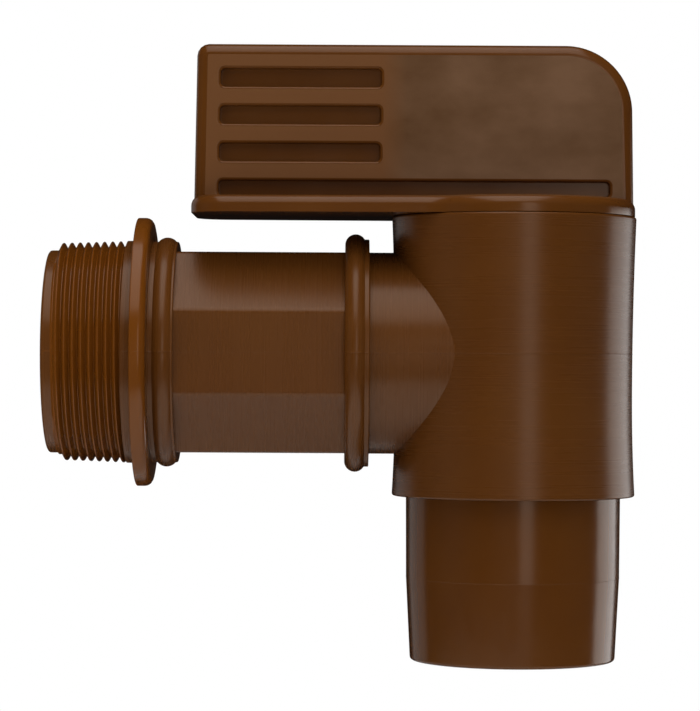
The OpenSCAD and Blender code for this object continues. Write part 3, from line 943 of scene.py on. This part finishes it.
class OBJECT_OT_drum_tap_rotor(bpy.types.Operator):
    """Builds the rotor moulding: flag handle, base plate, plug and spout"""

    bl_idname = "object.drum_tap_rotor"
    bl_label = "Rotor moulding"
    bl_options = {"REGISTER", "UNDO"}

    def execute(self, context):
        body = context.scene.drum_tap_body
        sizes = context.scene.drum_tap_rotor
        colours = context.scene.drum_tap_colours
        rotor = to_object(plug_solid(sizes, body), "tap_rotor")
        combine(rotor, plate_shell(sizes, body), "UNION")
        combine(rotor, flag_shell(sizes, body), "UNION")
        combine(rotor, plug_way(sizes, body), "DIFFERENCE")
        port = cylinder(body.port_r, body.port_r, ALONG * body.barrel_x, -ALONG, body.barrel_top_r)
        combine(rotor, port, "DIFFERENCE")
        finish_mesh(rotor)
        flag_face = sizes.flag_thickness / 2
        plate_top = body.barrel_top_z + sizes.plate_gap + sizes.plate_thickness
        grooves_end = body.barrel_x - sizes.flag_reach + sizes.groove_inset + sizes.groove_length
        tones = (colours.brown_deep, colours.brown)
        materials = [
            moulded_polyethylene("polyethylene_handle", tones, POLISHED, MOULDED_GLOSS),
            # The panel's painted sheen is browner by the grooves and greyer past them
            eroded_polyethylene(
                "polyethylene_panel", colours, grooves_end, grooves_end + sizes.groove_inset
            ),
            moulded_polyethylene("polyethylene_plug", tones, UNEVEN, MOULDED_GLOSS),
        ]

        def choose(centre, normal):
            if centre.z > plate_top:
                # Flat faces of the flag take the panel with its painted sheen
                flat = abs(normal.y) > 0.999 and abs(abs(centre.y) - flag_face) < 0.1 * MM
                return int(flat)
            return 0 if centre.z > body.barrel_top_z else 2

        assign_materials(rotor.data, materials, choose)
        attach(rotor, "rotor")
        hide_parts("rotor")
        return {"FINISHED"}


class OBJECT_OT_drum_tap_seals(bpy.types.Operator):
    """Gives both seal rings their rubber"""

    bl_idname = "object.drum_tap_seals"
    bl_label = "Seal rings"
    bl_options = {"REGISTER", "UNDO"}

    def execute(self, context):
        rubber = moulded_rubber("nitrile_rubber", context.scene.drum_tap_colours)
        for name in ("upper_seal", "lower_seal"):
            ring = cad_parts[name]
            ring.data.materials.clear()
            ring.data.materials.append(rubber)
        return {"FINISHED"}


# The studio. Azimuth 0 is the camera's side, and 90 is the barrel's side
CAMERA_PLACE = Vector((57.7, -803.4, -3.2)) * MM
CAMERA_PITCH = math.radians(0.18)
CAMERA_ROLL = math.radians(0.31)
# Lens that gives 2950 pixels of the picture to a metre at a metre, on its long side of 711
SENSOR = 36
CAMERA_LENS = SENSOR * 2950 / 711
FLOOR_CENTRE = Vector((60, -55, -125)) * MM
FLOOR_R = 0.2
FLOOR_LIT_R = 0.13
FLOOR_CLEAR_R = 0.19
STUDIO_CENTRE = Vector((55, 0, 0)) * MM
WHITE = (1.0, 1.0, 1.0, 1.0)
AMBIENT = 0.0
ROOM_R = 4.0
ROOM_LEVEL = 0.005


def rays_that_see_white(tree):
    """One for camera, glossy and transmission rays, which see the white background."""
    path = add_node(tree, "ShaderNodeLightPath")
    either = add_node(
        tree,
        "ShaderNodeMath",
        {"operation": "MAXIMUM"},
        {0: path.outputs["Is Camera Ray"], 1: path.outputs["Is Glossy Ray"]},
    ).outputs["Value"]
    return add_node(
        tree,
        "ShaderNodeMath",
        {"operation": "MAXIMUM"},
        {0: either, 1: path.outputs["Is Transmission Ray"]},
    ).outputs["Value"]


def softbox(name, azimuth, elevation, distance, width, height, radiance, in_gloss=True):
    """A rectangular lamp that faces the object, and shows in its gloss unless told not to."""
    lamp = bpy.data.lights.new(name, "AREA")
    lamp.shape = "RECTANGLE"
    lamp.size = width
    lamp.size_y = height
    lamp.energy = radiance * math.pi * width * height
    obj = bpy.data.objects.new(name, lamp)
    a = math.radians(azimuth)
    e = math.radians(elevation)
    away = Vector((math.sin(a) * math.cos(e), -math.cos(a) * math.cos(e), math.sin(e)))
    obj.location = STUDIO_CENTRE + away * distance
    obj.rotation_euler = away.to_track_quat("Z", "Y").to_euler()
    obj.visible_camera = False
    obj.visible_glossy = in_gloss
    bpy.context.scene.collection.objects.link(obj)
    return obj


def build_world(scene):
    """A pale room for diffuse light, and plain white where the background shows."""
    world = bpy.data.worlds.new("studio")
    world.use_nodes = True
    tree = world.node_tree
    tree.nodes.clear()
    ambient = add_node(tree, "ShaderNodeBackground", {"Color": WHITE, "Strength": AMBIENT})
    white = add_node(tree, "ShaderNodeBackground", {"Color": WHITE, "Strength": 1.0})
    mixed = add_node(
        tree,
        "ShaderNodeMixShader",
        links={
            0: rays_that_see_white(tree),
            1: ambient.outputs["Background"],
            2: white.outputs["Background"],
        },
    )
    add_node(tree, "ShaderNodeOutputWorld", links={"Surface": mixed.outputs["Shader"]})
    scene.world = world


def build_floor(colours):
    """A pale board below the tap, whose edge thins out into the white background."""
    bm = bmesh.new()
    bmesh.ops.create_circle(
        bm, cap_ends=True, segments=96, radius=FLOOR_R, matrix=Matrix.Translation(FLOOR_CENTRE)
    )
    floor = to_object(bm, "floor")
    material = empty_material("pale_painted_board")
    tree = material.node_tree
    place = add_node(tree, "ShaderNodeTexCoord").outputs["Object"]
    from_centre = add_node(
        tree,
        "ShaderNodeVectorMath",
        {"operation": "DISTANCE", 1: FLOOR_CENTRE},
        {0: place},
    )
    far = add_node(
        tree,
        "ShaderNodeMapRange",
        {"From Min": FLOOR_LIT_R, "From Max": FLOOR_CLEAR_R},
        {"Value": from_centre.outputs["Value"]},
    )
    board = add_node(tree, "ShaderNodeBsdfDiffuse", {"Color": colours.floor})
    clear = add_node(tree, "ShaderNodeBsdfTransparent")
    mixed = add_node(
        tree,
        "ShaderNodeMixShader",
        links={
            0: far.outputs["Result"],
            1: board.outputs["BSDF"],
            2: clear.outputs["BSDF"],
        },
    )
    add_node(tree, "ShaderNodeOutputMaterial", links={"Surface": mixed.outputs["Shader"]})
    floor.data.materials.append(material)


def build_room():
    """The dim walls of the studio, which only show in the gloss of the plastic."""
    bm = bmesh.new()
    bmesh.ops.create_icosphere(bm, subdivisions=4, radius=ROOM_R)
    room = to_object(bm, "room")
    room.visible_camera = False
    room.visible_diffuse = False
    room.visible_transmission = False
    room.visible_shadow = False
    material = empty_material("dim_studio_wall")
    tree = material.node_tree
    wall = add_node(tree, "ShaderNodeEmission", {"Color": WHITE, "Strength": ROOM_LEVEL})
    add_node(tree, "ShaderNodeOutputMaterial", links={"Surface": wall.outputs["Emission"]})
    room.data.materials.append(material)


class OBJECT_OT_drum_tap_stage(bpy.types.Operator):
    """Builds the pale floor, the background, the lamps and the camera"""

    bl_idname = "object.drum_tap_stage"
    bl_label = "Studio"
    bl_options = {"REGISTER", "UNDO"}

    def execute(self, context):
        scene = context.scene
        build_world(scene)
        build_floor(scene.drum_tap_colours)
        build_room()
        softbox("key", 13.5, 5.5, 1.5, 0.36, 0.85, 1.15)
        softbox("top", 0, 69, 1.1, 0.8, 1.5, 1.25)
        softbox("right_panel", 119, -9, 1.3, 0.95, 0.64, 1.9)
        softbox("left_panel", -132, 5, 1.3, 0.9, 1.2, 0.33)
        softbox("high_fill", 0, 72, 1.5, 0.7, 0.8, 4.9, in_gloss=False)
        softbox("back_fill", 0, 95, 1.5, 0.7, 0.8, 2.6, in_gloss=False)
        softbox("front_fill", 0, -10, 1.5, 1.0, 1.0, 1.85, in_gloss=False)
        softbox("left_low_fill", -50, -45, 1.5, 1.0, 1.0, 3.9, in_gloss=False)
        softbox("left_fill", -70, 0, 1.5, 1.0, 1.0, 1.4, in_gloss=False)
        softbox("left_high_fill", -35, 40, 1.5, 1.0, 1.0, 0.7, in_gloss=False)
        softbox("right_high_fill", 35, 40, 1.5, 1.0, 1.0, 1.5, in_gloss=False)
        softbox("right_fill", 70, 0, 1.5, 1.0, 1.0, 0.9, in_gloss=False)
        lens = bpy.data.cameras.new("camera")
        lens.sensor_width = SENSOR
        lens.lens = CAMERA_LENS
        lens.clip_start = 0.05
        lens.clip_end = 50
        camera = bpy.data.objects.new("camera", lens)
        upright = Matrix.Rotation(math.pi / 2 + CAMERA_PITCH, 4, "X")
        leaning = Matrix.Rotation(-CAMERA_ROLL, 4, "Y")
        camera.matrix_world = Matrix.Translation(CAMERA_PLACE) @ leaning @ upright
        scene.collection.objects.link(camera)
        scene.camera = camera
        scene.view_settings.view_transform = "Standard"
        return {"FINISHED"}


class VIEW3D_PT_drum_tap(bpy.types.Panel):
    """Buttons that build the drum tap, and the sizes and colours they use"""

    bl_label = "Drum tap"
    bl_space_type = "VIEW_3D"
    bl_region_type = "UI"
    bl_category = "Drum tap"

    def draw(self, context):
        for operator in OPERATORS:
            self.layout.operator(operator.bl_idname)
        for group in (
            context.scene.drum_tap_body,
            context.scene.drum_tap_rotor,
            context.scene.drum_tap_colours,
        ):
            column = self.layout.column(heading=group.bl_rna.description)
            for name in group.bl_rna.properties.keys():
                if name not in ("rna_type", "name"):
                    column.prop(group, name)


GROUPS = {
    "drum_tap_body": DrumTapBodySizes,
    "drum_tap_rotor": DrumTapRotorSizes,
    "drum_tap_colours": DrumTapColours,
}
OPERATORS = (
    OBJECT_OT_drum_tap_body,
    OBJECT_OT_drum_tap_rotor,
    OBJECT_OT_drum_tap_seals,
    OBJECT_OT_drum_tap_stage,
)


def register():
    for cls in (*GROUPS.values(), *OPERATORS, VIEW3D_PT_drum_tap):
        bpy.utils.register_class(cls)
    for name, group in GROUPS.items():
        setattr(bpy.types.Scene, name, bpy.props.PointerProperty(type=group))


def unregister():
    for name in GROUPS:
        delattr(bpy.types.Scene, name)
    for cls in (VIEW3D_PT_drum_tap, *reversed(OPERATORS), *GROUPS.values()):
        bpy.utils.unregister_class(cls)


def main():
    register()
    bpy.ops.object.drum_tap_body()
    bpy.ops.object.drum_tap_rotor()
    bpy.ops.object.drum_tap_seals()
    bpy.ops.object.drum_tap_stage()


if __name__ == "__main__":
    main()
